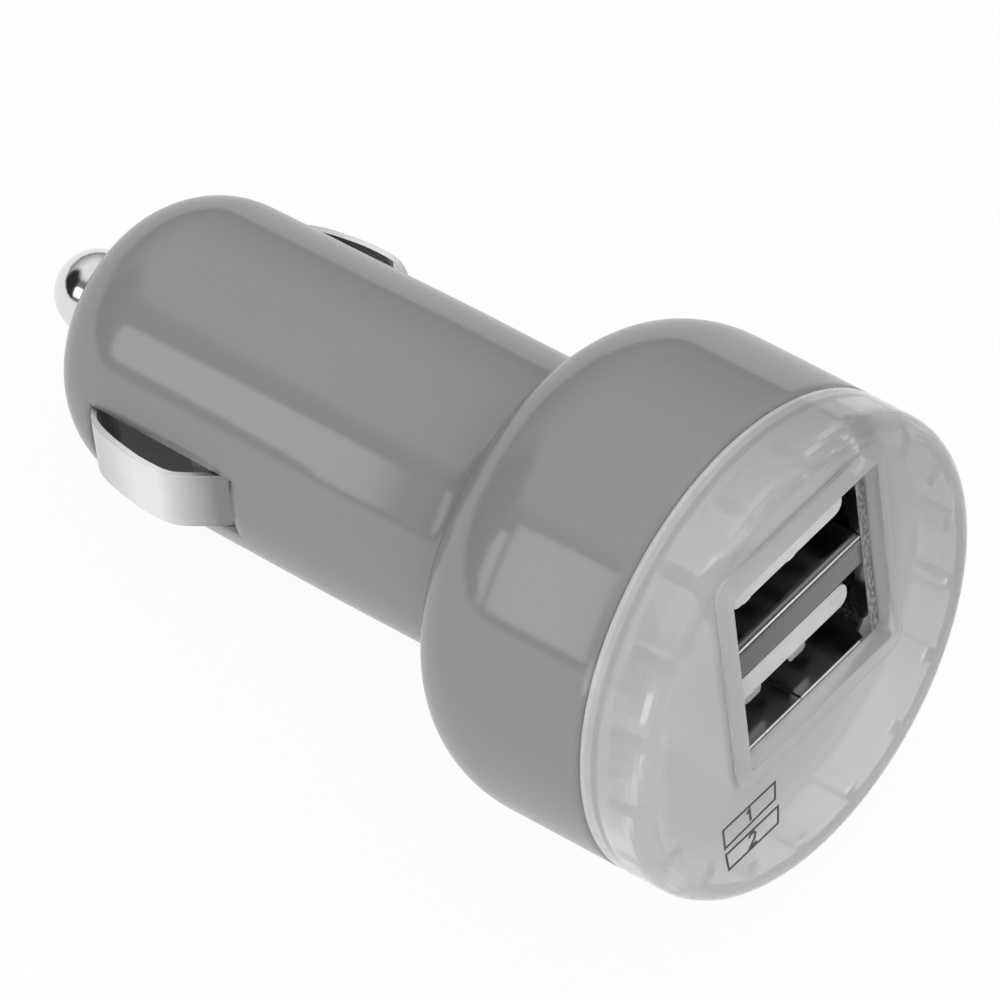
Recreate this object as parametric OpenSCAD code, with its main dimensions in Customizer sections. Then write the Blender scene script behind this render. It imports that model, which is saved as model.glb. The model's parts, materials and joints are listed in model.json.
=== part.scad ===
// Car charger plug with two stacked USB-A ports.
// The plug's axis is Y: the nose points to +Y and the port face looks to -Y. Z is up.
// The origin is on the axis where the straight barrel begins. All sizes are in millimetres.

/* [Barrel] */
// Diameter of the straight barrel
barrel_d = 20.74; // [20.7:0.02:20.88]
// Length of the straight part of the barrel, before the draft
straight_len = 10; // [8:0.5:12]
// Barrel diameter where the nose rounding begins
nose_d = 20.32; // [20:0.04:20.6]
// Distance from the barrel's root to the nose face
barrel_len = 34.28; // [34:0.02:34.6]
// Radius of the rounding around the nose
nose_round = 6.95; // [6:0.05:7]

/* [Head] */
// Diameter of the head
head_d = 34; // [33.8:0.1:35]
// Distance from the port face to the barrel's root
head_run = 23.5; // [23.4:0.1:24]
// Length of the translucent cap
cap_len = 5.5; // [5.3:0.1:5.7]
// Rounding of the cap's front edge
cap_round = 2; // [1.5:0.1:2.2]
// Axial length of the shoulder's curve
shoulder_len = 7; // [6.6:0.1:7.2]
// Radial depth of the shoulder's curve
shoulder_drop = 5.5; // [5.4:0.05:5.6]

/* [Port window] */
// Width of the window in the cap
window_w = 14.6; // [14.5:0.02:14.8]
// Sideways place of the window's middle
port_x = 0.33; // [0:0.01:0.4]
// Lower edge of the window, above the axis
window_low = -3.43; // [-3.5:0.01:-3.4]
// Upper edge of the window, above the axis
window_high = 12.17; // [12.1:0.01:12.3]
// Depth of the port shell behind the face
shell_setback = 1; // [0.8:0.1:1.3]
// Height of the raised border around the window
border_h = 0.2; // [0.1:0.05:0.4]

/* [Contacts] */
// Diameter of the centre pin
pin_d = 5.9; // [5.7:0.05:6]
// Length of the centre pin outside the nose
pin_out = 4.9; // [4.5:0.1:5.2]
// Width of the side contact strips
strip_w = 4.6; // [4:0.1:4.8]
// Thickness of the side contact strips
strip_t = 0.4; // [0.3:0.05:0.45]

/* [Hidden] */
$fn = 64;

// Outline positions along Y
face_y = -head_run;
seam_y = face_y + cap_len;
shoulder_end_y = -2;
shoulder_y = shoulder_end_y - shoulder_len;
nose_y = barrel_len;
nose_round_y = nose_y - nose_round;

// Outline radii
head_r = head_d / 2;
barrel_r = barrel_d / 2;
nose_r = nose_d / 2;
// the shoulder's curve ends above the barrel's wall
root_least = 0.2;
shoulder_low_r = max(head_r - shoulder_drop, barrel_r + root_least);

// Housing wall
wall = 1.5;
head_in_r = head_r - 1.6;
barrel_in_r = barrel_r - wall;
nose_wall = 1.29;
nose_in_r = nose_r - nose_wall;
root_in_r = barrel_in_r + 1.33;
shoulder_in_len = shoulder_len - 1.4;
flange_r = 4.2;
flange_side_gap = 0.87;
nose_in_round = nose_in_r - flange_r - flange_side_gap;
nose_in_y = nose_y - 3.1;
pin_gap = 0.07;
pin_r = pin_d / 2;

// Side slots
slot_w = strip_w + 0.3;
slot_rear_y = nose_y - 18.08;
slot_nose_y = nose_y - 5.93;

// Cap skirt and snap bead
skirt_out_r = head_in_r - 0.15;
skirt_in_r = skirt_out_r - 1;
skirt_len = 3.4;
bead_y = seam_y + 2.2;
bead_h = 0.3;
cap_face_t = 1.6;
cap_in_r = head_r - 1.7;
seam_gap = 0.05;
edge_break = 0.2;

// Window, its chimney and its border
border_w = 1.1;
border_top = 1.9;
border_low = 1.2;
border_corner = 1.5;
chimney_t = 1.2;
chimney_end_y = face_y + 5;
rib_count = 18;
rib_turn = 1;
rib_w = 1;
rib_depth = 1.2;

// Port shell: a folded sheet around both ports
sheet = 0.3;
shell_gap = 0.14;
shell_w = window_w - 2 * shell_gap;
shell_low = window_low + shell_gap;
shell_high = window_high - shell_gap;
shell_front_y = face_y + shell_setback;
shell_len = 16.5;
shell_rear_y = shell_front_y + shell_len;
hem_t = 0.8;
hem_len = 0.9;
leg_w = 1.2;
leg_len = 2.3;
leg_front_y = shell_front_y + 5.4;
leg_rear_y = shell_rear_y - 1;

// Divider between the ports
divider_low = 2.8;
divider_high = 5.78;
divider_len = 11;
divider_w = shell_w - 2 * hem_t - 0.1;

// Tongues and contacts of the ports
tongue_w = 11.2;
tongue_t = 1.84;
tongue_upper_z = 8.48;
tongue_lower_z = -0.15;
tongue_upper_y = face_y + 1.6;
tongue_lower_y = face_y + 2;
tongue_round = 0.8;
block_front_y = shell_rear_y - 6.4;
block_upper_y = shell_rear_y - 1.4;
block_lower_y = shell_rear_y - 2.5;
contact_w = 1;
contact_t = 0.25;
contact_x = [-3.5, -1, 1, 3.5];
groove_gap = 0.1;
groove_start = 0.5;

// Circuit board
board_t = 1.6;
board_top = shell_low - 0.05;
board_low = board_top - board_t;
board_front_y = seam_y - 0.2;
board_wide_y = shoulder_y + 3.4;
board_head_gap = 0.37;
board_barrel_gap = 0.57;
board_head_w = 2 * (sqrt(pow(skirt_in_r, 2) - pow(board_low, 2)) - board_head_gap);
board_barrel_w = 2 * (sqrt(pow(barrel_in_r, 2) - pow(board_low, 2)) - board_barrel_gap);
part_gap = 0.05;
under_y = (board_front_y + board_wide_y) / 2;
inductor_x = 7.5 - board_head_w / 2;
inductor_y = under_y - 0.1;
inductor_r = 4.2;
inductor_flange = 1.1;
inductor_wall_gap = 1.77;
can_wall_gap = 1.04;

// Centre pin, spring and terminal
flange_t = 1.1;
flange_front_y = nose_in_y - 0.08;
flange_rear_y = flange_front_y - flange_t;
spigot_r = 1.5;
spigot_len = 3;
dome_y = nose_y + pin_out - pin_r;
terminal_t = 0.4;
terminal_y = nose_y - 13.08;
terminal_foot = 3.6;
terminal_w = 6.4;
terminal_high = 3.6;
boss_len = 1.2;
board_nose_y = terminal_y + 1.2;
chips_y = terminal_y - 5.6;
diode_y = terminal_y - 8.2;
regulator_y = diode_y - 8;
can_side_gap = 4.87;
spring_wire = 0.5;
spring_r = 2.1;
spring_turns = 6;
spring_rear_y = terminal_y + terminal_t + 0.05;
spring_front_y = flange_rear_y - 0.05;

housing_grey = [0.50, 0.50, 0.51];
cap_white = [0.80, 0.82, 0.82];
nickel = [0.78, 0.78, 0.76];
tin = [0.60, 0.61, 0.62];
ivory = [0.82, 0.82, 0.80];
gold = [0.83, 0.70, 0.38];
board_green = [0.10, 0.36, 0.20];
black = [0.08, 0.08, 0.09];
copper = [0.72, 0.38, 0.20];

// Points on an ellipse: centre, radii along r and y, start and end angle
function arc(cr, cy, a, b, from, to, n) =
    [for (i = [0:n]) [cr + a * cos(from + (to - from) * i / n), cy + b * sin(from + (to - from) * i / n)]];

// Turns a profile of [radius, y] points about the plug's axis
module turned(profile) {
    rotate([-90, 0, 0])
        rotate_extrude()
            polygon(profile);
}

// A disc or rod along Y
module rod_y(r, from, to) {
    translate([0, from, 0])
        rotate([-90, 0, 0])
            cylinder(r = r, h = to - from);
}

// A box given by its two far corners
module block(low, high) {
    translate(low)
        cube([high[0] - low[0], high[1] - low[1], high[2] - low[2]]);
}

// A plate with rounded corners across Y
module rounded_plate(low_x, high_x, low_z, high_z, from, to, r) {
    translate([0, to, 0])
        rotate([90, 0, 0])
            linear_extrude(to - from)
                union() {
                    translate([low_x + r, low_z])
                        square([high_x - low_x - 2 * r, high_z - low_z]);
                    translate([low_x, low_z + r])
                        square([high_x - low_x, high_z - low_z - 2 * r]);
                    for (x = [low_x + r, high_x - r], z = [low_z + r, high_z - r])
                        translate([x, z])
                            circle(r);
                }
}

// Outer surface of the barrel, shoulder and head
module housing_outside() {
    root_drop = shoulder_low_r - barrel_r;
    turned(concat(
        [[0, seam_y], [head_r - edge_break, seam_y], [head_r, seam_y + edge_break]],
        arc(shoulder_low_r, shoulder_y, head_r - shoulder_low_r, shoulder_len, 0, 90, 14),
        arc(shoulder_low_r, 0, -root_drop, shoulder_end_y, 90, 0, 8),
        [[barrel_r, straight_len]],
        arc(nose_r - nose_round, nose_round_y, nose_round, nose_round, 0, 90, 16),
        [[0, nose_y]]));
}

// Hollow inside the housing
module housing_inside() {
    turned(concat(
        [[0, seam_y - 1], [head_in_r, seam_y - 1]],
        arc(root_in_r, shoulder_y, head_in_r - root_in_r, shoulder_in_len, 0, 90, 12),
        [[barrel_in_r, shoulder_end_y], [barrel_in_r, straight_len]],
        arc(nose_in_r - nose_in_round, nose_in_y - nose_in_round, nose_in_round, nose_in_round, 0, 90, 10),
        [[0, nose_in_y]]));
}

module housing() {
    color(housing_grey)
        difference() {
            housing_outside();
            housing_inside();
            // snap groove
            turned([[head_in_r - 1, bead_y - 0.6], [head_in_r, bead_y - 0.6],
                [head_in_r + 0.35, bead_y], [head_in_r, bead_y + 0.6], [head_in_r - 1, bead_y + 0.6]]);
            // pin bore
            rod_y(pin_r + pin_gap, nose_in_y - 1, nose_y + 1);
            // side slots
            for (side = [-1, 1])
                translate([side * barrel_r, (slot_rear_y + slot_nose_y) / 2, 0])
                    cube([8, slot_nose_y - slot_rear_y, slot_w], center = true);
        }
}

// Outer surface of the cap, grown by a little for the border
module cap_outside(grow) {
    turned(concat(
        [[0, face_y - grow]],
        arc(head_r - cap_round, face_y + cap_round, cap_round + grow, cap_round + grow, -90, 0, 8),
        [[head_r + grow, seam_y - seam_gap - edge_break],
            [head_r + grow - edge_break, seam_y - seam_gap], [0, seam_y - seam_gap]]));
}

// Skirt that snaps into the housing
module cap_skirt() {
    skirt_end_y = seam_y + skirt_len;
    turned([[skirt_in_r, seam_y - 0.9], [cap_in_r + 0.2, seam_y - 0.9], [cap_in_r + 0.2, seam_y - 0.4],
        [skirt_out_r, seam_y - 0.4], [skirt_out_r, bead_y - 0.5], [skirt_out_r + bead_h, bead_y],
        [skirt_out_r, bead_y + 0.5], [skirt_out_r, skirt_end_y - 0.3],
        [skirt_out_r - 0.3, skirt_end_y], [skirt_in_r, skirt_end_y]]);
}

module front_cap() {
    half = window_w / 2;
    color(cap_white)
        difference() {
            union() {
                difference() {
                    cap_outside(0);
                    rod_y(cap_in_r, face_y + cap_face_t, seam_y + 1);
                }
                cap_skirt();
                // raised border around the window
                intersection() {
                    cap_outside(border_h);
                    rounded_plate(-half - border_w, half + border_w, window_low - border_low,
                        window_high + border_top, face_y - 1, face_y + cap_round, border_corner);
                }
                // chimney behind the face
                intersection() {
                    block([port_x - half - chimney_t, face_y + 1, window_low - chimney_t],
                        [port_x + half + chimney_t, chimney_end_y, window_high + chimney_t]);
                    rod_y(cap_in_r + 0.5, face_y, seam_y);
                }
                // axial ribs inside the wall
                for (i = [0:rib_count - 1])
                    rotate([0, -rib_turn - i * 360 / rib_count, 0])
                        block([cap_in_r - rib_depth, face_y + 1, -rib_w / 2],
                            [cap_in_r + 0.5, seam_y - 1.3, rib_w / 2]);
            }
            // window
            rounded_plate(port_x - half, port_x + half, window_low, window_high,
                face_y - 2, seam_y + 8, 0.3);
        }
}

// Domed pin with the flange that stops it behind the nose wall
module centre_pin() {
    color(nickel)
        turned(concat(
            [[0, flange_rear_y - spigot_len], [spigot_r - 0.3, flange_rear_y - spigot_len],
                [spigot_r, flange_rear_y - spigot_len + 0.3], [spigot_r, flange_rear_y],
                [flange_r, flange_rear_y], [flange_r, flange_front_y], [pin_r, flange_front_y]],
            arc(0, dome_y, pin_r, pin_r, 0, 90, 16)));
}

// Points of one ring of the spring's wire
function coil_ring(t, sides) =
    let (turn = 360 * spring_turns * t)
    let (run = spring_front_y - spring_rear_y - spring_wire)
    let (mid = spring_rear_y + spring_wire / 2 + run * t)
    [for (i = [0:sides - 1])
        let (a = 360 * i / sides)
        let (r = spring_r + spring_wire / 2 * cos(a))
        [r * cos(turn), mid + spring_wire / 2 * sin(a), r * sin(turn)]];

module centre_spring() {
    sides = 8;
    steps = spring_turns * 20;
    rings = [for (s = [0:steps]) coil_ring(s / steps, sides)];
    points = [for (ring = rings) each ring];
    skin = [for (s = [0:steps - 1], i = [0:sides - 1])
        [s * sides + i, s * sides + (i + 1) % sides, (s + 1) * sides + (i + 1) % sides, (s + 1) * sides + i]];
    first = [for (i = [0:sides - 1]) sides - 1 - i];
    last = [for (i = [0:sides - 1]) steps * sides + i];
    color(nickel)
        polyhedron(points, concat([first], skin, [last]));
}

// Angle that carries the spring on the board
module spring_terminal() {
    foot_y = terminal_y - terminal_foot;
    half = terminal_w / 2;
    color(gold)
        union() {
            block([-half, foot_y, board_top], [half, terminal_y + terminal_t, board_top + terminal_t]);
            block([-half, terminal_y, board_top], [half, terminal_y + terminal_t, terminal_high]);
            rod_y(spigot_r - 0.1, terminal_y, terminal_y + terminal_t + boss_len);
        }
}

// Radius of the barrel's outside, drafted from its straight part to the nose
function surface_r(y) =
    barrel_r + (nose_r - barrel_r) * min(max((y - straight_len) / (nose_round_y - straight_len), 0), 1);

// Middle line of a side contact as [distance behind the nose face, height over the barrel's surface]
strip_path = [[5.48, -2.86], [6.03, -2.31], [6.28, -1.56], [6.33, -0.76], [6.48, -0.16], [6.98, 0.44],
    [7.78, 0.81], [8.98, 1.12], [10.28, 1.33], [11.48, 1.47], [12.68, 1.49], [13.58, 1.44], [14.28, 1.28],
    [14.88, 0.96], [15.68, 0.43], [16.48, -0.16], [17.18, -0.68], [17.6, -1.19], [17.68, -1.79],
    [17.43, -2.24], [16.88, -2.43], [12.68, -2.38]];

// One more point between each two, on a smooth curve
function mid_point(p, i) =
    let (a = p[max(i - 1, 0)])
    let (b = p[i])
    let (c = p[i + 1])
    let (d = p[min(i + 2, len(p) - 1)])
    (-a + 9 * b + 9 * c - d) / 16;
function smoother(p) =
    [for (i = [0:2 * len(p) - 2]) i % 2 == 0 ? p[i / 2] : mid_point(p, (i - 1) / 2)];

// Points beside a line, at a distance to its left
function beside(p, gap) =
    [for (i = [0:len(p) - 1])
        let (d = p[min(i + 1, len(p) - 1)] - p[max(i - 1, 0)])
        p[i] + gap * [-d[1], d[0]] / norm(d)];
function reversed(p) = [for (i = [len(p) - 1:-1:0]) p[i]];

module side_contact() {
    path = smoother([for (p = strip_path) [nose_y - p[0], surface_r(nose_y - p[0]) + p[1]]]);
    tail_r = path[len(path) - 1][1];
    outline = concat(beside(path, strip_t / 2), reversed(beside(path, -strip_t / 2)));
    union() {
        translate([0, 0, -strip_w / 2])
            linear_extrude(strip_w)
                polygon([for (p = outline) [p[1], p[0]]]);
        // shoulders that stop the strip behind the wall
        block([tail_r - strip_t / 2, slot_rear_y + 2.4, -slot_w / 2 - 0.65],
            [tail_r + strip_t / 2, slot_rear_y + 4.6, slot_w / 2 + 0.65]);
    }
}

module side_contact_right() {
    color(nickel)
        side_contact();
}

module side_contact_left() {
    color(nickel)
        mirror([1, 0, 0])
            side_contact();
}

module main_board() {
    hole = sheet + 0.3;
    color(board_green)
        difference() {
            union() {
                block([-board_head_w / 2, board_front_y, board_low],
                    [board_head_w / 2, board_wide_y, board_top]);
                block([-board_barrel_w / 2, board_wide_y - 1, board_low],
                    [board_barrel_w / 2, board_nose_y, board_top]);
            }
            for (side = [-1, 1], y = [leg_front_y, leg_rear_y])
                translate([port_x + side * (shell_w - sheet) / 2, y, board_low + board_t / 2])
                    cube([hole, leg_w + 0.4, board_t + 1], center = true);
        }
}

// The folded sheet around both ports, with hems at the mouth and legs into the board
module port_shell() {
    half = shell_w / 2;
    mid_z = (shell_low + shell_high) / 2;
    seam_x = -0.9;
    seam_w = 0.15;
    seam_len = 6;
    color(tin)
        translate([port_x, 0, 0])
            difference() {
                union() {
                    difference() {
                        rounded_plate(-half, half, shell_low, shell_high, shell_front_y, shell_rear_y, 0.5);
                        rounded_plate(-half + sheet, half - sheet, shell_low + sheet, shell_high - sheet,
                            shell_front_y - 1, shell_rear_y - sheet, 0.25);
                    }
                    for (side = [-1, 1])
                        translate([side * (half - hem_t / 2), shell_front_y + hem_len / 2, mid_z])
                            cube([hem_t, hem_len, shell_high - shell_low - 1], center = true);
                    // folded corner of the lower port's mouth
                    translate([0, shell_front_y + sheet, 0])
                        rotate([90, 0, 0])
                            linear_extrude(sheet)
                                polygon([[half - 0.2, shell_low + 0.2], [half - 0.2, shell_low + 1.7],
                                    [half - 1.3, shell_low + 1.75], [half - 1.9, shell_low + 1],
                                    [half - 1.5, shell_low + 0.2]]);
                    for (side = [-1, 1], y = [leg_front_y, leg_rear_y])
                        translate([side * (half - sheet / 2), y, shell_low + 0.5 - leg_len / 2])
                            cube([sheet, leg_w, leg_len + 1], center = true);
                }
                // opening under the contact tails
                block([-half + 1, block_lower_y - 0.4, shell_low - 1],
                    [half - 1, shell_rear_y - sheet, shell_low + 1]);
                // seam in the floor
                block([seam_x, shell_front_y - 1, shell_low - 1],
                    [seam_x + seam_w, shell_front_y + seam_len, shell_low + 1]);
            }
}

// Folded sheet between the two ports: a front band with two shelves behind it
module port_divider() {
    round = 0.7;
    h = divider_high - divider_low;
    color(tin)
        translate([port_x - divider_w / 2, 0, 0])
            rotate([90, 0, 90])
                linear_extrude(divider_w)
                    difference() {
                        union() {
                            translate([shell_front_y + round, divider_low])
                                square([divider_len - round, h]);
                            translate([shell_front_y, divider_low + round])
                                square([round + 1, h - 2 * round]);
                            for (z = [divider_low + round, divider_high - round])
                                translate([shell_front_y + round, z])
                                    circle(round);
                        }
                        translate([shell_front_y + sheet, divider_low + sheet])
                            square([divider_len, h - 2 * sheet]);
                    }
}

// One port's tongue with the block it grows from
module port_insulator(tongue_z, front_y, low_z, high_z, rear_y) {
    half = tongue_w / 2;
    block_half = shell_w / 2 - sheet - 0.15;
    translate([port_x, 0, 0])
        difference() {
            union() {
                rounded_plate(-half, half, tongue_z, tongue_z + tongue_t, front_y, block_front_y + 1,
                    tongue_round);
                block([-block_half, block_front_y, low_z], [block_half, rear_y, high_z]);
            }
            for (x = contact_x)
                translate([x, 0, 0])
                    block([-contact_w / 2 - groove_gap, front_y + groove_start, tongue_z - 0.25],
                        [contact_w / 2 + groove_gap, rear_y + 1, tongue_z + contact_t + groove_gap]);
        }
}

// A contact's run in its groove and its tail down to the board
module contact_strip(tongue_z, tip_y, hang, tail_y) {
    top = tongue_z + contact_t / 2 + 0.02;
    path = [[tip_y + 0.12, top - hang], [tip_y + 0.9, top - hang * 0.6], [tip_y + 1.8, top],
        [tail_y - 0.5, top], [tail_y - 0.12, top - 0.12], [tail_y, top - 0.5],
        [tail_y, board_top + part_gap]];
    outline = concat(beside(path, contact_t / 2), reversed(beside(path, -contact_t / 2)));
    translate([-contact_w / 2, 0, 0])
        rotate([90, 0, 90])
            linear_extrude(contact_w)
                polygon(outline);
}

// Tab bent down at a contact's front end, rounded at its foot
module contact_tab(tongue_z, tip_y, half, drop, round) {
    union() {
        rounded_plate(-half, half, tongue_z - drop, tongue_z - 0.05, tip_y, tip_y + contact_t, round);
        block([-contact_w / 2, tip_y, tongue_z - drop / 2],
            [contact_w / 2, tip_y + contact_t, tongue_z + contact_t]);
    }
}

// The first and third contact of a port reach further forward and end in a tab
module port_contact(i, tongue_z, front_y, tail_y, tab_half, tab_drop, tab_round) {
    tabbed = i % 2 == 0;
    tip_y = front_y + groove_start + (tabbed ? 0.1 : 1.2);
    color(gold)
        translate([port_x + contact_x[i], 0, 0])
            union() {
                contact_strip(tongue_z, tip_y, tabbed ? 0 : 0.4, tail_y);
                if (tabbed)
                    contact_tab(tongue_z, tip_y, tab_half, tab_drop, tab_round);
            }
}

module upper_contact(i) {
    port_contact(i, tongue_upper_z, tongue_upper_y, block_upper_y + 0.3, 0.65, 1, 0.47);
}

module lower_contact(i) {
    port_contact(i, tongue_lower_z, tongue_lower_y, block_lower_y + 0.3, 0.85, 1.5, 0.35);
}

module upper_port_insulator() {
    color(ivory)
        port_insulator(tongue_upper_z, tongue_upper_y, divider_high + 0.1,
            shell_high - sheet - 0.15, block_upper_y);
}

module lower_port_insulator() {
    color(ivory)
        port_insulator(tongue_lower_z, tongue_lower_y, shell_low + sheet + 0.15,
            divider_low - 0.1, block_lower_y);
}

// Capacitor can with a crimped ring near its leads
module capacitor_can(r, h) {
    rotate_extrude()
        polygon([[0, 0], [r - 0.3, 0], [r, 0.3], [r, 1.1], [r - 0.35, 1.45], [r, 1.8],
            [r, h - 0.3], [r - 0.3, h], [0, h]]);
}

module input_capacitor() {
    r = barrel_in_r - can_side_gap;
    rear_y = 1.5;
    chip_gap = 2.1;
    h = chips_y - chip_gap - rear_y;
    z = board_top + r + 2 * part_gap;
    color(black)
        union() {
            translate([0, rear_y, z])
                rotate([-90, 0, 0])
                    capacitor_can(r, h);
            for (x = [-1.75, 1.75]) {
                translate([x, rear_y - 1.5, z])
                    rotate([-90, 0, 0])
                        cylinder(r = 0.3, h = 1.6);
                translate([x, rear_y - 1.5, board_top + 0.03])
                    cylinder(r = 0.3, h = z - board_top);
            }
        }
}

// Height of a round part under the board that stays clear of the head's wall by a gap
function under_room(x, r, gap) =
    sqrt(pow(head_in_r, 2) - pow(abs(x) + r, 2)) + board_low - part_gap - gap;
inductor_h = under_room(inductor_x, inductor_r, inductor_wall_gap);

module output_capacitor() {
    r = 3.15;
    x = board_head_w / 2 - 8;
    color(black)
        translate([x, under_y + 0.4, board_low - part_gap])
            rotate([180, 0, 0])
                capacitor_can(r, under_room(x, r, can_wall_gap));
}

module inductor_core() {
    h = inductor_h;
    r = inductor_r;
    flange = inductor_flange;
    chamfer = 0.1;
    core_r = r / 2 - chamfer;
    color(black)
        translate([inductor_x, inductor_y, board_low - part_gap])
            rotate([180, 0, 0])
                rotate_extrude()
                    polygon([[0, 0], [r - chamfer, 0], [r, chamfer], [r, flange - chamfer],
                        [r - chamfer, flange], [core_r, flange], [core_r, h - flange],
                        [r - chamfer, h - flange], [r, h - flange + chamfer], [r, h - chamfer],
                        [r - chamfer, h], [0, h]]);
}

// Turns of wire on the core, seen as rounded rows
module inductor_coil() {
    rows = 6;
    low = inductor_flange + part_gap;
    pitch = (inductor_h - 2 * low) / rows;
    in_r = inductor_r / 2 - part_gap;
    row_r = inductor_r - 0.55;
    color(copper)
        translate([inductor_x, inductor_y, board_low - part_gap])
            rotate([180, 0, 0])
                rotate_extrude()
                    union() {
                        translate([in_r, low])
                            square([row_r - in_r, rows * pitch]);
                        for (i = [0:rows - 1])
                            translate([row_r, low + pitch * (i + 0.5)])
                                circle(pitch / 2);
                    }
}

module regulator_ic() {
    color(black)
        translate([0, regulator_y, board_low - part_gap])
            union() {
                block([-1.95, -2.45, -1.6], [1.95, 2.45, -0.15]);
                for (side = [0, 1], i = [-1.5:1:1.5])
                    translate([0, i * 1.27, 0])
                        mirror([side, 0, 0]) {
                            block([1.8, -0.2, -0.95], [2.6, 0.2, -0.75]);
                            block([2.4, -0.2, -0.95], [2.6, 0.2, 0]);
                            block([2.4, -0.2, -0.2], [3.1, 0.2, 0]);
                        }
            }
}

module rectifier_diode() {
    color(black)
        translate([0, diode_y, board_low - part_gap])
            union() {
                block([-1.35, -2.15, -2.2], [1.35, 2.15, -0.2]);
                for (side = [-1, 1])
                    translate([0, side * 2.25, 0])
                        block([-0.7, -0.3, -1.2], [0.7, 0.3, 0]);
            }
}

// Domed lamp looking at the cap, its leads bent down to the board
module indicator_led() {
    r = 1.5;
    chimney_gap = 0.83;
    x_mid = window_w / 2 - port_x + chimney_t + chimney_gap + r + 0.2;
    z = 2.2;
    tip_y = face_y + 2.8;
    base_y = tip_y + 5;
    color(cap_white)
        translate([-x_mid, 0, 0])
            union() {
                translate([0, base_y, z])
                    rotate([90, 0, 0])
                        rotate_extrude()
                            polygon(concat([[0, 0], [r + 0.2, 0], [r + 0.2, 0.8], [r, 0.8]],
                                arc(0, 5 - r, r, r, 0, 90, 8)));
                for (x = [-0.8, 0.8]) {
                    block([x - 0.2, base_y - 0.1, z - 0.2], [x + 0.2, base_y + 1.6, z + 0.2]);
                    block([x - 0.2, base_y + 1.2, board_top + 0.03], [x + 0.2, base_y + 1.6, z + 0.2]);
                }
            }
}

module chip(x, y, size) {
    translate([x, y, board_top + 0.03 + size[2] / 2])
        cube(size, center = true);
}

module chip_resistors() {
    small = [1.25, 2, 0.5];
    side_x = board_head_w / 2 - 2.4;
    color(black)
        union() {
            for (x = [-2.6, 0, 2.6])
                chip(x, chips_y, small);
            chip(side_x, under_y + 1.9, small);
            chip(side_x, under_y - 1.3, small);
        }
}

module chip_capacitors() {
    color([0.62, 0.48, 0.32])
        union() {
            for (side = [-1, 1])
                chip(side * (board_barrel_w / 2 - 1.6), 3, [1.6, 3.2, 1.2]);
            chip(2.4 - board_head_w / 2, under_y + 1.9, [1.25, 2, 0.9]);
        }
}

housing();
front_cap();
centre_pin();
centre_spring();
spring_terminal();
side_contact_left();
side_contact_right();
main_board();
port_shell();
port_divider();
upper_port_insulator();
lower_port_insulator();
upper_contact(0);  // upper_contact_1
upper_contact(1);  // upper_contact_2
upper_contact(2);  // upper_contact_3
upper_contact(3);  // upper_contact_4
lower_contact(0);  // lower_contact_1
lower_contact(1);  // lower_contact_2
lower_contact(2);  // lower_contact_3
lower_contact(3);  // lower_contact_4
input_capacitor();
output_capacitor();
inductor_core();
inductor_coil();
regulator_ic();
rectifier_diode();
indicator_led();
chip_resistors();
chip_capacitors();
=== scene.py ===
import json
import math

import bmesh
import bpy
from mathutils import Matrix, Vector


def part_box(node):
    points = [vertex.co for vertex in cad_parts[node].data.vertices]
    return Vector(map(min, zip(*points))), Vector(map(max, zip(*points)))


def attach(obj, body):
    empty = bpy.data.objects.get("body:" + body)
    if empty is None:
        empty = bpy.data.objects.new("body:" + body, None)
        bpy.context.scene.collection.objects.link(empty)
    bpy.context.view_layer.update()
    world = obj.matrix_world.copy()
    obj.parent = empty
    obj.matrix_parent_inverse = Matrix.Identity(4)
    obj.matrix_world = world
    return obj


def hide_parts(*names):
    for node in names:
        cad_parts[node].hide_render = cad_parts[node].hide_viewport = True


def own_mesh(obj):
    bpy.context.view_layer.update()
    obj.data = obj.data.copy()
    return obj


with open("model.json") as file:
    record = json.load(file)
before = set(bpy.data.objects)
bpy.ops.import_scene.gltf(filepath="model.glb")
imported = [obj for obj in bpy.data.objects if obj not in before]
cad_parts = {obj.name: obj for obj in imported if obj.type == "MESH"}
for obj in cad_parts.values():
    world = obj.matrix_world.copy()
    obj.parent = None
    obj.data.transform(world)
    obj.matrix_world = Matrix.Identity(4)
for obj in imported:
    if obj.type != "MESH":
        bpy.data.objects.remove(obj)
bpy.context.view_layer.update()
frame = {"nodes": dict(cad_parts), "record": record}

MM = 0.001
PLUG_AXIS = (0, 1, 0)
scene = bpy.context.scene
nodes = frame["nodes"]


def add(name, data):
    """A new object of the scene with this data."""
    thing = bpy.data.objects.new(name, data)
    scene.collection.objects.link(thing)
    return thing


def mesh_data(name, mesh):
    """A finished bmesh as mesh data."""
    data = bpy.data.meshes.new(name)
    mesh.to_mesh(data)
    mesh.free()
    return data


def square(name, half):
    """A flat square as mesh data, from half its side."""
    mesh = bmesh.new()
    bmesh.ops.create_grid(mesh, x_segments=1, y_segments=1, size=half)
    return mesh_data(name, mesh)


def grey(level):
    return (level, level, level)


# camera
CAMERA_AT = (-0.449394, -0.440560, 0.641468)
CAMERA_RIGHT = (0.62983, -0.77135, -0.09126)
CAMERA_UP = (0.59476, 0.40336, 0.69539)
CAMERA_BACK = (-0.49958, -0.49226, 0.71281)
LENS_MM = 504.94
SENSOR_MM = 36
NEAREST = 0.01
FARTHEST = 20

camera_data = bpy.data.cameras.new("camera")
camera_data.lens = LENS_MM
camera_data.sensor_width = SENSOR_MM
camera_data.clip_start = NEAREST
camera_data.clip_end = FARTHEST
camera = add("camera", camera_data)
turn = Matrix((CAMERA_RIGHT, CAMERA_UP, CAMERA_BACK)).transposed()
camera.matrix_world = Matrix.Translation(CAMERA_AT) @ turn.to_quaternion().to_matrix().to_4x4()
scene.camera = camera


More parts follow.
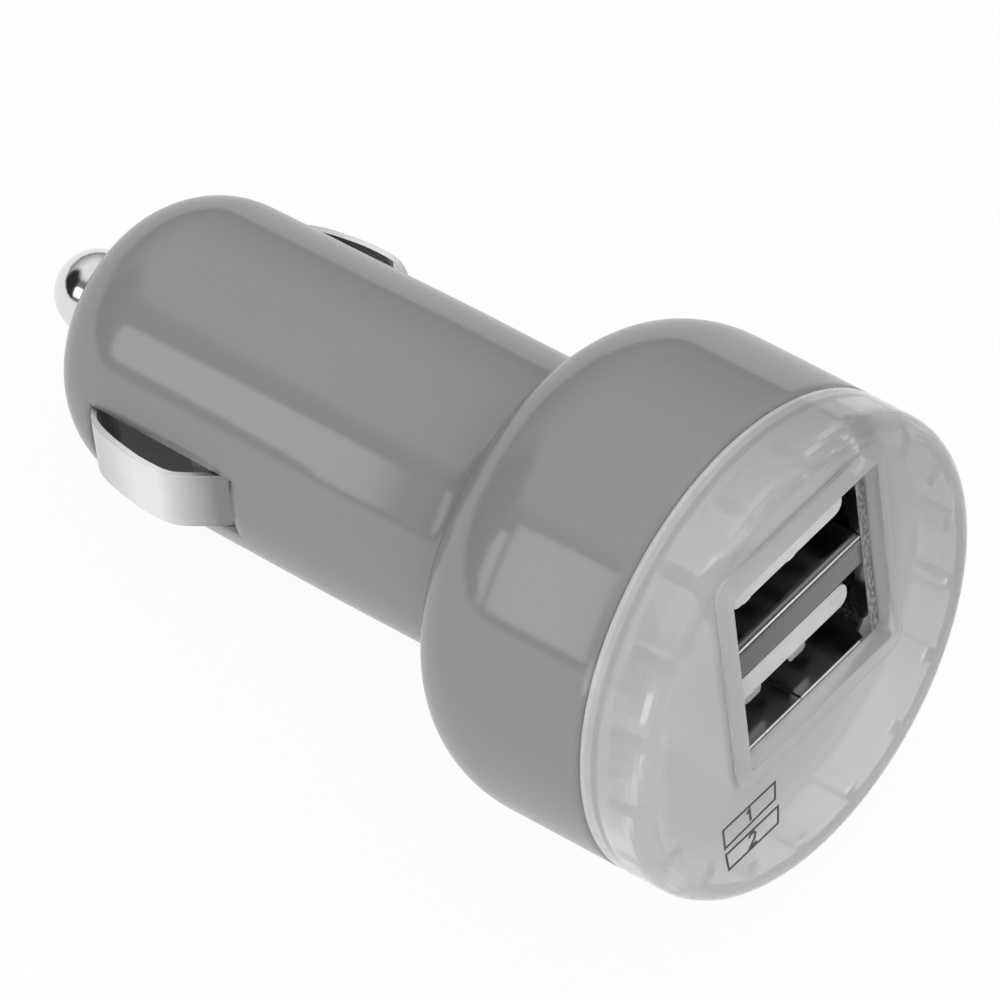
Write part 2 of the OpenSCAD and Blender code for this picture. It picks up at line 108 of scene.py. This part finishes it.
# material tools
NOISE_LOW = 0.3
NOISE_HIGH = 0.7
TONE_DETAIL = 4
GRAIN_DETAIL = 2
EVEN = (1, 1, 1)
EDGE_SAMPLES = 6


def new_material(name):
    """An empty node material with its output."""
    material = bpy.data.materials.new(name)
    material.use_nodes = True
    tree = material.node_tree
    tree.nodes.clear()
    output = tree.nodes.new("ShaderNodeOutputMaterial")
    return material, tree, output


def put(tree, value, socket):
    """Sets a socket to a number, or links another socket to it."""
    if isinstance(value, (int, float)):
        socket.default_value = value
    else:
        tree.links.new(value, socket)


def combine(tree, operation, first, second):
    """The result of a math operation on two sockets or numbers."""
    node = tree.nodes.new("ShaderNodeMath")
    node.operation = operation
    put(tree, first, node.inputs[0])
    put(tree, second, node.inputs[1])
    return node.outputs["Value"]


def mixed(tree, factor, first, second):
    """Two shaders mixed by a factor."""
    node = tree.nodes.new("ShaderNodeMixShader")
    put(tree, factor, node.inputs["Fac"])
    tree.links.new(first, node.inputs[1])
    tree.links.new(second, node.inputs[2])
    return node.outputs["Shader"]


def noise(tree, scale, detail, stretch):
    """A noise value on the object's own coordinates; scale is in waves per metre."""
    place = tree.nodes.new("ShaderNodeTexCoord")
    mapping = tree.nodes.new("ShaderNodeMapping")
    mapping.inputs["Scale"].default_value = stretch
    texture = tree.nodes.new("ShaderNodeTexNoise")
    texture.inputs["Scale"].default_value = scale
    texture.inputs["Detail"].default_value = detail
    tree.links.new(place.outputs["Object"], mapping.inputs["Vector"])
    tree.links.new(mapping.outputs["Vector"], texture.inputs["Vector"])
    return texture.outputs["Fac"]


def ranged(tree, value, low, high, from_low=NOISE_LOW, from_high=NOISE_HIGH):
    """A value mapped from one range to another."""
    node = tree.nodes.new("ShaderNodeMapRange")
    node.inputs["From Min"].default_value = from_low
    node.inputs["From Max"].default_value = from_high
    node.inputs["To Min"].default_value = low
    node.inputs["To Max"].default_value = high
    tree.links.new(value, node.inputs["Value"])
    return node.outputs["Result"]


def ramped(tree, value, low, low_tone, high, high_tone):
    """A colour that goes from one tone to another as a value goes from low to high."""
    node = tree.nodes.new("ShaderNodeValToRGB")
    for element, position, tone in zip(node.color_ramp.elements, (low, high), (low_tone, high_tone)):
        element.position = position
        element.color = (*tone, 1)
    tree.links.new(value, node.inputs["Fac"])
    return node.outputs["Color"]


def reach_along(tree, coordinates, direction):
    """How far a point lies along a direction, from the given texture coordinates."""
    place = tree.nodes.new("ShaderNodeTexCoord")
    reach = tree.nodes.new("ShaderNodeVectorMath")
    reach.operation = "DOT_PRODUCT"
    reach.inputs[1].default_value = direction
    tree.links.new(place.outputs[coordinates], reach.inputs[0])
    return reach.outputs["Value"]


def along(tree, direction, start, end):
    """0 to 1 from start to end along a direction of the object, in metres."""
    return ranged(tree, reach_along(tree, "Object", direction), 0, 1, start, end)


def band(tree, low, high, soft):
    """1 between two heights along the plug's axis, with soft ends; lengths in metres."""
    height = reach_along(tree, "Object", PLUG_AXIS)
    rise = ranged(tree, height, 0, 1, low - soft, low)
    fall = ranged(tree, height, 1, 0, high, high + soft)
    return combine(tree, "MULTIPLY", rise, fall)


def surface(name, tone, rough, spread=0.03, tone_scale=120, rough_scale=600,
            grain_scale=3000, grain_depth=0.000004, stretch=EVEN, **sockets):
    """A procedural material: uneven tone, uneven roughness and a fine bump, depth in metres."""
    material, tree, output = new_material(name)
    shader = tree.nodes.new("ShaderNodeBsdfPrincipled")
    dark = tuple(max(0.0, c * (1 - spread)) for c in tone)
    light = tuple(min(1.0, c * (1 + spread)) for c in tone)
    patches = noise(tree, tone_scale, TONE_DETAIL, stretch)
    colour = ramped(tree, patches, NOISE_LOW, dark, NOISE_HIGH, light)
    tree.links.new(colour, shader.inputs["Base Color"])
    roughness = ranged(tree, noise(tree, rough_scale, TONE_DETAIL, stretch), rough[0], rough[1])
    tree.links.new(roughness, shader.inputs["Roughness"])
    if grain_depth:
        relief = tree.nodes.new("ShaderNodeBump")
        relief.inputs["Distance"].default_value = grain_depth
        tree.links.new(noise(tree, grain_scale, GRAIN_DETAIL, stretch), relief.inputs["Height"])
        tree.links.new(relief.outputs["Normal"], shader.inputs["Normal"])
    for socket, value in sockets.items():
        shader.inputs[socket.replace("_", " ")].default_value = value
    tree.links.new(shader.outputs["BSDF"], output.inputs["Surface"])
    return material


def shader_of(material):
    return next(n for n in material.node_tree.nodes if n.bl_idname == "ShaderNodeBsdfPrincipled")


def round_edges(material, radius):
    """Shades a material's sharp edges as if they had this radius, in metres."""
    tree = material.node_tree
    normal = shader_of(material).inputs["Normal"]
    if normal.is_linked:
        normal = normal.links[0].from_node.inputs["Normal"]
    edge = tree.nodes.new("ShaderNodeBevel")
    edge.samples = EDGE_SAMPLES
    edge.inputs["Radius"].default_value = radius
    tree.links.new(edge.outputs["Normal"], normal)


def shade(material, factor, tone):
    """Turns a material's colour towards a tone by a factor from 0 to 1."""
    tree = material.node_tree
    colour = shader_of(material).inputs["Base Color"]
    mix = tree.nodes.new("ShaderNodeMix")
    mix.data_type = "RGBA"
    tree.links.new(factor, mix.inputs["Factor"])
    tree.links.new(colour.links[0].from_socket, mix.inputs["A"])
    mix.inputs["B"].default_value = (*tone, 1)
    tree.links.new(mix.outputs["Result"], colour)


def add_translucency(material, share, tone):
    """Lets a share of the light pass through a material's walls."""
    tree = material.node_tree
    output = next(n for n in tree.nodes if n.bl_idname == "ShaderNodeOutputMaterial")
    thin = tree.nodes.new("ShaderNodeBsdfTranslucent")
    thin.inputs["Color"].default_value = (*tone, 1)
    solid = output.inputs["Surface"].links[0].from_socket
    tree.links.new(mixed(tree, share, solid, thin.outputs["BSDF"]), output.inputs["Surface"])


# moulded plastics
HOUSING_PASSES = 0.28
HOUSING_INSIDE = grey(0.68)
GREY = surface("grey_plastic", (0.325, 0.325, 0.327), rough=(0.05, 0.06), spread=0.02, tone_scale=60,
               rough_scale=100, grain_depth=0, IOR=1.75)
add_translucency(GREY, HOUSING_PASSES, HOUSING_INSIDE)

# the cap is darker towards its upper right, a painted shade, and shows a white line where it meets the
# head, a painted highlight
CAP_SHADE_WAY = (0.95, 0, 0.45)
CAP_SHADE_START = 2 * MM
CAP_SHADE_END = 14 * MM
CAP_SHADE_SHARE = 0.6
CAP_SHADE_TONE = grey(0.60)
SEAM_HIGHLIGHT_REAR = 0.5 * MM
SEAM_HIGHLIGHT_FRONT = 0.04 * MM
SEAM_HIGHLIGHT_SOFT = 0.08 * MM
SEAM_HIGHLIGHT_TONE = grey(1.0)
FROSTED = surface("frosted_plastic", grey(0.88), rough=(0.06, 0.10), spread=0.015, tone_scale=70,
                  rough_scale=150, grain_depth=0, IOR=1.47, Transmission_Weight=0.62)
seam_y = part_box("housing")[0][1]
tree = FROSTED.node_tree
# painted shade: the cap's colour turns darker towards its upper right
cap_shade = along(tree, CAP_SHADE_WAY, CAP_SHADE_START, CAP_SHADE_END)
shade(FROSTED, combine(tree, "MULTIPLY", cap_shade, CAP_SHADE_SHARE), CAP_SHADE_TONE)
# painted highlight: a white line along the cap where it meets the head
seam_highlight = band(tree, seam_y - SEAM_HIGHLIGHT_REAR, seam_y - SEAM_HIGHLIGHT_FRONT, SEAM_HIGHLIGHT_SOFT)
shade(FROSTED, seam_highlight, SEAM_HIGHLIGHT_TONE)

IVORY = surface("light_plastic", (0.68, 0.68, 0.66), rough=(0.4, 0.55), spread=0.05, tone_scale=900,
                grain_scale=7000, grain_depth=0.000006)

# contacts of the plug; each strip darkens towards both of its ends, a painted reflection of darker
# surroundings
NOSE_END_START = 23 * MM
NOSE_END = 27 * MM
NOSE_END_SHARE = 0.8
NOSE_END_SHADE_TONE = (0.46, 0.46, 0.455)
REAR_END_START = 21 * MM
REAR_END = 17.5 * MM
REAR_END_SHARE = 0.9
REAR_END_SHADE_TONE = grey(0.17)
NICKEL = surface("nickel", (0.74, 0.74, 0.73), rough=(0.06, 0.10), tone_scale=300, rough_scale=900,
                 grain_depth=0, Metallic=1.0)
STRIP = surface("strip_nickel", (0.82, 0.82, 0.81), rough=(0.13, 0.20), spread=0.04, tone_scale=300,
                rough_scale=700, grain_depth=0, Metallic=1.0)
tree = STRIP.node_tree
# painted reflection: the strip's tone turns darker towards each of its ends
nose_end_shade = along(tree, (0, 1, 0), NOSE_END_START, NOSE_END)
shade(STRIP, combine(tree, "MULTIPLY", nose_end_shade, NOSE_END_SHARE), NOSE_END_SHADE_TONE)
rear_end_shade = along(tree, (0, -1, 0), -REAR_END_START, -REAR_END)
shade(STRIP, combine(tree, "MULTIPLY", rear_end_shade, REAR_END_SHARE), REAR_END_SHADE_TONE)
SPRING = surface("spring_steel", (0.52, 0.52, 0.53), rough=(0.25, 0.4), grain_depth=0, Metallic=1.0)
BRASS = surface("brass", (0.78, 0.62, 0.32), rough=(0.2, 0.35), grain_depth=0, Metallic=1.0)

# sheet metal of the ports; the divider gets lighter to one side, a painted light gradient, and the
# shell's hem gets light patches, a painted highlight
DIVIDER_START = -6 * MM
DIVIDER_END = 7 * MM
DIVIDER_LIGHT_TONE = grey(0.19)
HEM_START = 6.7 * MM
HEM_END = 6.8 * MM
HEM_HIGHLIGHT_TONE = (0.75, 0.75, 0.74)
LIT_PATCH_SCALE = 5200
LIT_PATCH_DETAIL = 3
LIT_PATCH_STRETCH = (1, 1, 0.4)
LIT_PATCH_LOW = 0.44
LIT_PATCH_HIGH = 0.58
LIT_PATCH_MOST = 0.75
TIN = surface("tinplate", grey(0.12), rough=(0.16, 0.22), spread=0.06, tone_scale=500,
              rough_scale=900, grain_depth=0, Metallic=1.0)
# painted light: the divider's colour turns lighter towards +x
shade(TIN, along(TIN.node_tree, (1, 0, 0), DIVIDER_START, DIVIDER_END), DIVIDER_LIGHT_TONE)
SHELL = surface("shell_tinplate", grey(0.30), rough=(0.18, 0.26), spread=0.06, tone_scale=500,
                rough_scale=900, grain_depth=0, Metallic=1.0)
tree = SHELL.node_tree
# painted highlight: light patches on the shell's right side wall by the hem
hem = along(tree, (1, 0, 0), HEM_START, HEM_END)
patches = noise(tree, LIT_PATCH_SCALE, LIT_PATCH_DETAIL, LIT_PATCH_STRETCH)
lit_patches = ranged(tree, patches, 0, LIT_PATCH_MOST, LIT_PATCH_LOW, LIT_PATCH_HIGH)
shade(SHELL, combine(tree, "MULTIPLY", hem, lit_patches), HEM_HIGHLIGHT_TONE)
# painted highlight: a near-white finish for the rolled edges of the sheet metal
LIP_HIGHLIGHT = surface("lip_painted_highlight", grey(0.95), rough=(0.25, 0.4), spread=0.02, tone_scale=900,
              rough_scale=2000, grain_depth=0, Metallic=0.4)

# contacts of the ports; the upper ones get a darker, duller copy of the plating as painted shade, with
# a painted highlight along their lower edge
EDGE_HIGHLIGHT_START = 7.68 * MM
EDGE_HIGHLIGHT_END = 7.6 * MM
EDGE_HIGHLIGHT_TONE = grey(1.0)
CONTACT = surface("contact_plating", (0.74, 0.73, 0.70), rough=(0.22, 0.45), spread=0.25,
                  tone_scale=4500, rough_scale=5000, grain_scale=4500, grain_depth=0.00002,
                  Metallic=1.0)
# painted shade: a darker copy of the contact plating for the upper contacts, which stand in the dark
SHADED_CONTACT = surface("contact_painted_shade", grey(0.36), rough=(0.25, 0.35), spread=0.12, tone_scale=2500,
                       rough_scale=3000, grain_depth=0, Metallic=0.25)
# painted highlight: a white band along the lower edge of the upper contacts
edge_highlight = along(SHADED_CONTACT.node_tree, (0, 0, -1), -EDGE_HIGHLIGHT_START, -EDGE_HIGHLIGHT_END)
shade(SHADED_CONTACT, edge_highlight, EDGE_HIGHLIGHT_TONE)

# board, its pieces and the print
BOARD = surface("board", (0.05, 0.16, 0.09), rough=(0.3, 0.45), spread=0.2, tone_scale=1500)
SLEEVE = surface("capacitor_sleeve", (0.03, 0.03, 0.035), rough=(0.2, 0.3))
FERRITE = surface("ferrite", grey(0.05), rough=(0.5, 0.7), spread=0.2, tone_scale=2500)
COPPER = surface("copper_wire", (0.62, 0.28, 0.12), rough=(0.2, 0.3), stretch=(1, 1, 8), Metallic=1.0)
EPOXY = surface("black_epoxy", grey(0.03), rough=(0.4, 0.6), spread=0.2, tone_scale=2500)
CLEAR = surface("clear_epoxy", (0.9, 0.92, 0.93), rough=(0.12, 0.2), grain_depth=0, IOR=1.5,
                Transmission_Weight=0.6)
CERAMIC = surface("ceramic", (0.42, 0.31, 0.2), rough=(0.5, 0.65), spread=0.15, tone_scale=3000)
INK = surface("print", grey(0.03), rough=(0.45, 0.6), spread=0.3, tone_scale=2500, grain_depth=0)

EDGE_RADII_MM = (
    (GREY, 0.9), (FROSTED, 0.12), (NICKEL, 0.3), (STRIP, 0.06), (TIN, 0.09), (SHELL, 0.09),
    (CONTACT, 0.08))
for finish, radius in EDGE_RADII_MM:
    round_edges(finish, radius * MM)

FINISH = {
    "grey_plastic": GREY, "frosted_plastic": FROSTED, "nickel": NICKEL, "spring_steel": SPRING,
    "brass": BRASS, "tinplate": TIN, "light_plastic": IVORY, "gold_plate": CONTACT, "board": BOARD,
    "capacitor_sleeve": SLEEVE, "ferrite": FERRITE, "copper": COPPER, "black_epoxy": EPOXY,
    "clear_epoxy": CLEAR, "ceramic": CERAMIC,
}
OWN_FINISH = (("side_contact", STRIP), ("upper_contact", SHADED_CONTACT), ("port_shell", SHELL))
for subpart in frame["record"]["subparts"]:
    node = nodes[subpart["node"]]
    finish = FINISH[subpart["material_slot"]]
    for start, own in OWN_FINISH:
        if subpart["node"].startswith(start):
            finish = own
    node.data.materials.clear()
    node.data.materials.append(finish)


def make_piece(name, mesh, finish, body="plug"):
    """A piece of the object from a bmesh, riding on a body."""
    bmesh.ops.recalc_face_normals(mesh, faces=mesh.faces)
    piece = add(name, mesh_data(name, mesh))
    piece.data.materials.append(finish)
    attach(piece, body)
    return piece


# printed boxes on the cap, with points as [x, z] in mm
FACE_Y = -23.5 * MM
PRINT_T = 0.02 * MM
LINE_W = 0.17 * MM
DIGIT_W = 0.2 * MM
MITRE_LEAST = 0.4
UPPER_BOX = [(-10.1, -6.24), (-4.82, -6.39), (-5.0, -7.81), (-10.11, -7.91)]
LOWER_BOX = [(-10.09, -8.5), (-4.79, -8.65), (-4.97, -10.08), (-9.97, -10.0)]
DIGIT_ONE = [(-7.75, -6.8), (-7.45, -6.58), (-7.45, -7.62)]
TWO_CENTRE = (-7.48, -9.1)
TWO_HALF_W = 0.32
TWO_HALF_H = 0.3
TWO_ANGLES = range(20, 190, 17)
TWO_FOOT = [(-7.3, -9.4), (-7.8, -9.82), (-7.12, -9.82)]


def ribbon(mesh, points, width, closed):
    """A flat stroke of the given width along points on the port face."""
    points = [(x * MM, z * MM) for x, z in points]
    count = len(points)
    rings = []
    for i, point in enumerate(points):
        before = points[i - 1] if closed or i else point
        after = points[(i + 1) % count] if closed or i < count - 1 else point
        a = Vector(point) - Vector(before)
        b = Vector(after) - Vector(point)
        a = a.normalized() if a.length else b.normalized()
        b = b.normalized() if b.length else a
        middle = (a + b).normalized()
        across = Vector((-middle.y, middle.x)) / max(MITRE_LEAST, middle.dot(a))
        left = Vector(point) + across * width / 2
        right = Vector(point) - across * width / 2
        corners = ((left, FACE_Y), (right, FACE_Y), (right, FACE_Y - PRINT_T), (left, FACE_Y - PRINT_T))
        rings.append([mesh.verts.new((p.x, y, p.y)) for p, y in corners])
    for i in range(count if closed else count - 1):
        here, there = rings[i], rings[(i + 1) % count]
        for k in range(4):
            mesh.faces.new((here[k], here[(k + 1) % 4], there[(k + 1) % 4], there[k]))
    if not closed:
        mesh.faces.new(rings[0][::-1])
        mesh.faces.new(rings[-1])


two_arc = [(TWO_CENTRE[0] - TWO_HALF_W * math.cos(math.radians(a)),
            TWO_CENTRE[1] + TWO_HALF_H * math.sin(math.radians(a))) for a in TWO_ANGLES]
marks = bmesh.new()
ribbon(marks, UPPER_BOX, LINE_W, True)
ribbon(marks, LOWER_BOX, LINE_W, True)
ribbon(marks, DIGIT_ONE, DIGIT_W, False)
ribbon(marks, two_arc + TWO_FOOT, DIGIT_W, False)
label = make_piece("port_labels", marks, INK)


# rolled edges of the port's sheet metal, as thin rods whose near-white finish is a painted highlight
LIP_R = 0.07 * MM
ROD_SIDES = 10
ROUND_END = 0.7
SHELL_FLOOR_Z = -3.04 * MM
FLOOR_LIPS_MM = ((-6.1, -0.6), (-0.4, 5.5))


def rod(mesh, start, end, radius):
    """A thin straight rod with rounded ends."""
    start, end = Vector(start), Vector(end)
    axis = (end - start).normalized()
    first = axis.orthogonal().normalized()
    second = axis.cross(first)
    rings = []
    for centre, lean in ((start, -ROUND_END), (start, 0.0), (end, 0.0), (end, ROUND_END)):
        size = radius * math.cos(math.asin(abs(lean)))
        ring = []
        for k in range(ROD_SIDES):
            angle = 2 * math.pi * k / ROD_SIDES
            side = first * math.cos(angle) + second * math.sin(angle)
            ring.append(mesh.verts.new(centre + axis * radius * lean + side * size))
        rings.append(ring)
    for low, high in zip(rings, rings[1:]):
        for k in range(ROD_SIDES):
            after = (k + 1) % ROD_SIDES
            mesh.faces.new((low[k], low[after], high[after], high[k]))
    mesh.faces.new(rings[0][::-1])
    mesh.faces.new(rings[-1])


divider_low, divider_high = (Vector(corner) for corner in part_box("port_divider"))
shell_low = Vector(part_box("port_shell")[0])
edges = bmesh.new()
rod(edges, (divider_low.x + 2 * LIP_R, divider_low.y, divider_high.z - LIP_R),
    (divider_high.x - 2 * LIP_R, divider_low.y, divider_high.z - LIP_R), LIP_R)
for first, last in FLOOR_LIPS_MM:
    rod(edges, (first * MM, shell_low.y, SHELL_FLOOR_Z), (last * MM, shell_low.y, SHELL_FLOOR_Z), LIP_R)
lips = make_piece("port_edge_lips", edges, LIP_HIGHLIGHT)
for face in lips.data.polygons:
    face.use_smooth = True


# the spring behind the pin, copied with a mesh of its own; in the real plug it shortens as the pin
# presses in
coil = add("pin_spring_coil", nodes["centre_spring"].data.copy())
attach(coil, "plug")
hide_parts("centre_spring")
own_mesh(coil)


# floor: white to the camera, pale to what it lights
FLOOR_TILT = math.radians(10.72)
FLOOR_GAP = 15.19 * MM
FLOOR_HALF = 3.0
FLOOR_TONE = grey(0.92)
FLOOR_SEEN = 0.95
FLOOR_MIRRORED = 0.9
floor_up = Vector((0, -math.sin(FLOOR_TILT), math.cos(FLOOR_TILT)))

floor = add("floor", square("floor", FLOOR_HALF))
floor.matrix_world = Matrix.Translation(-floor_up * FLOOR_GAP) @ Matrix.Rotation(FLOOR_TILT, 4, "X")

material, tree, output = new_material("pale_floor")
lit = tree.nodes.new("ShaderNodeBsdfDiffuse")
lit.inputs["Color"].default_value = (*FLOOR_TONE, 1)
plain = tree.nodes.new("ShaderNodeEmission")
path = tree.nodes.new("ShaderNodeLightPath")
seen = combine(tree, "MAXIMUM", path.outputs["Is Camera Ray"], path.outputs["Is Transmission Ray"])
direct = combine(tree, "MULTIPLY", seen, FLOOR_SEEN)
mirrored = combine(tree, "MULTIPLY", path.outputs["Is Glossy Ray"], FLOOR_MIRRORED)
share = combine(tree, "MAXIMUM", direct, mirrored)
tree.links.new(mixed(tree, share, lit.outputs[0], plain.outputs[0]), output.inputs["Surface"])
floor.data.materials.append(material)


# room: brighter above
ROOM_LOW = 0.05
ROOM_LOW_TONE = grey(0.28)
ROOM_HIGH = 0.6
ROOM_HIGH_TONE = grey(0.95)

world = bpy.data.worlds.new("studio")
scene.world = world
world.use_nodes = True
tree = world.node_tree
tree.nodes.clear()
output = tree.nodes.new("ShaderNodeOutputWorld")
room = tree.nodes.new("ShaderNodeBackground")
height = reach_along(tree, "Generated", floor_up)
sky = ramped(tree, height, ROOM_LOW, ROOM_LOW_TONE, ROOM_HIGH, ROOM_HIGH_TONE)
tree.links.new(sky, room.inputs["Color"])
tree.links.new(room.outputs[0], output.inputs["Surface"])


# lamps, and panels and walls that only mirrors see
PANEL_REACH = 0.3
PANEL_STEPS = 12
BARREL_R = 10.37 * MM
HEAD_R = 17 * MM
BARREL_PANEL = [
    (4.4, 131, 145.5), (4.9, 130.2, 146.8), (6, 130, 147.6), (10, 130, 147.3), (17, 130, 145.8),
    (22, 130, 144.8), (28, 130.3, 144.4), (38, 130.8, 143.9), (45, 131.8, 143.2), (49, 133, 142.2),
    (52, 135, 140.5)]
HEAD_PANEL = [
    (-18.3, 126.8, 147.3), (-14, 126.8, 147.3), (-9.5, 127, 147.3), (-8.4, 127.8, 146.6),
    (-7.7, 129.5, 145), (-7.4, 132, 143)]
WALL_TONE = 0.03
# shares of a wall's size: its soft edge, and where its tone turns from the near one to the far one
WALL_FADE = 0.35
WALL_TURN_START = -0.060
WALL_TURN_END = 0.012


def facing_centre(place):
    """The matrix of something at a place that faces the origin, its height along the plug."""
    back = Vector(place).normalized()
    across = Vector(PLUG_AXIS).cross(back).normalized()
    turn = Matrix((across, back.cross(across), back)).transposed()
    return Matrix.Translation(place) @ turn.to_4x4()


def soft_box(name, centre, width, length, radiance):
    """A rectangular lamp of the given radiance, its length along the plug."""
    lamp = bpy.data.lights.new(name, "AREA")
    lamp.shape = "RECTANGLE"
    lamp.size = width
    lamp.size_y = length
    lamp.energy = radiance * math.pi * width * length
    add(name, lamp).matrix_world = facing_centre(centre)


def stage_mirrored(thing, material):
    """Gives a stage object its material and shows it to mirrors only."""
    thing.data.materials.append(material)
    for ray in ("camera", "diffuse", "transmission", "shadow", "volume_scatter"):
        setattr(thing, "visible_" + ray, False)


def light_panel(name, radius, rows, radiance):
    """A curved panel whose reflection in a round wall fills a patch.

    rows holds (y, first angle, last angle) of the patch in mm and degrees.
    """
    mesh = bmesh.new()
    grid = []
    for y, first, last in rows:
        line = []
        for k in range(PANEL_STEPS + 1):
            angle = math.radians(first + (last - first) * k / PANEL_STEPS)
            normal = Vector((math.cos(angle), 0, math.sin(angle)))
            spot = normal * radius + Vector((0, y * MM, 0))
            ray = (spot - Vector(CAMERA_AT)).normalized()
            line.append(mesh.verts.new(spot + ray.reflect(normal) * PANEL_REACH))
        grid.append(line)
    for low, high in zip(grid, grid[1:]):
        for k in range(PANEL_STEPS):
            mesh.faces.new((low[k], low[k + 1], high[k + 1], high[k]))
    material, tree, output = new_material(name)
    glow = tree.nodes.new("ShaderNodeEmission")
    glow.inputs["Strength"].default_value = radiance
    tree.links.new(glow.outputs[0], output.inputs["Surface"])
    stage_mirrored(add(name, mesh_data(name, mesh)), material)


def dark_wall(name, facing, distance, width, height, near_tone):
    """A dark wall with soft edges on the side that facing points to.

    Its square is 1 wide before it is scaled, so the gradient is doubled to end at its edge.
    """
    wall = add(name, square(name, 0.5))
    place = Vector(facing).normalized() * distance
    wall.matrix_world = facing_centre(place) @ Matrix.Diagonal((width, height, 1, 1))
    material, tree, output = new_material(name)
    own = tree.nodes.new("ShaderNodeTexCoord")
    reach = tree.nodes.new("ShaderNodeMapping")
    reach.inputs["Scale"].default_value = (2, 2, 2)
    spot = tree.nodes.new("ShaderNodeTexGradient")
    spot.gradient_type = "SPHERICAL"
    tree.links.new(own.outputs["Object"], reach.inputs["Vector"])
    tree.links.new(reach.outputs["Vector"], spot.inputs["Vector"])
    clear = tree.nodes.new("ShaderNodeBsdfTransparent")
    dark = tree.nodes.new("ShaderNodeEmission")
    turned = along(tree, (0, 1, 0), WALL_TURN_START, WALL_TURN_END)
    tree.links.new(ramped(tree, turned, 0, grey(near_tone), 1, grey(WALL_TONE)), dark.inputs["Color"])
    solid = ranged(tree, spot.outputs["Fac"], 0, 1, 0.0, WALL_FADE)
    tree.links.new(mixed(tree, solid, clear.outputs[0], dark.outputs[0]), output.inputs["Surface"])
    stage_mirrored(wall, material)


light_panel("barrel_panel", BARREL_R, BARREL_PANEL, radiance=2.0)
light_panel("head_panel", HEAD_R, HEAD_PANEL, radiance=2.1)
soft_box("top_light", (0.15, -0.25, 0.6), width=0.35, length=0.35, radiance=1.1)
soft_box("side_light", (-0.5, -0.22, 0.05), width=0.12, length=0.35, radiance=5.2)
dark_wall("side_wall", (-0.62, 0.64, 0.45), distance=0.362, width=0.34, height=0.34, near_tone=0.26)
dark_wall("nose_wall", (-0.38, 0.80, 0.40), distance=0.385, width=0.46, height=0.34,
          near_tone=WALL_TONE)

scene.view_settings.view_transform = "Standard"
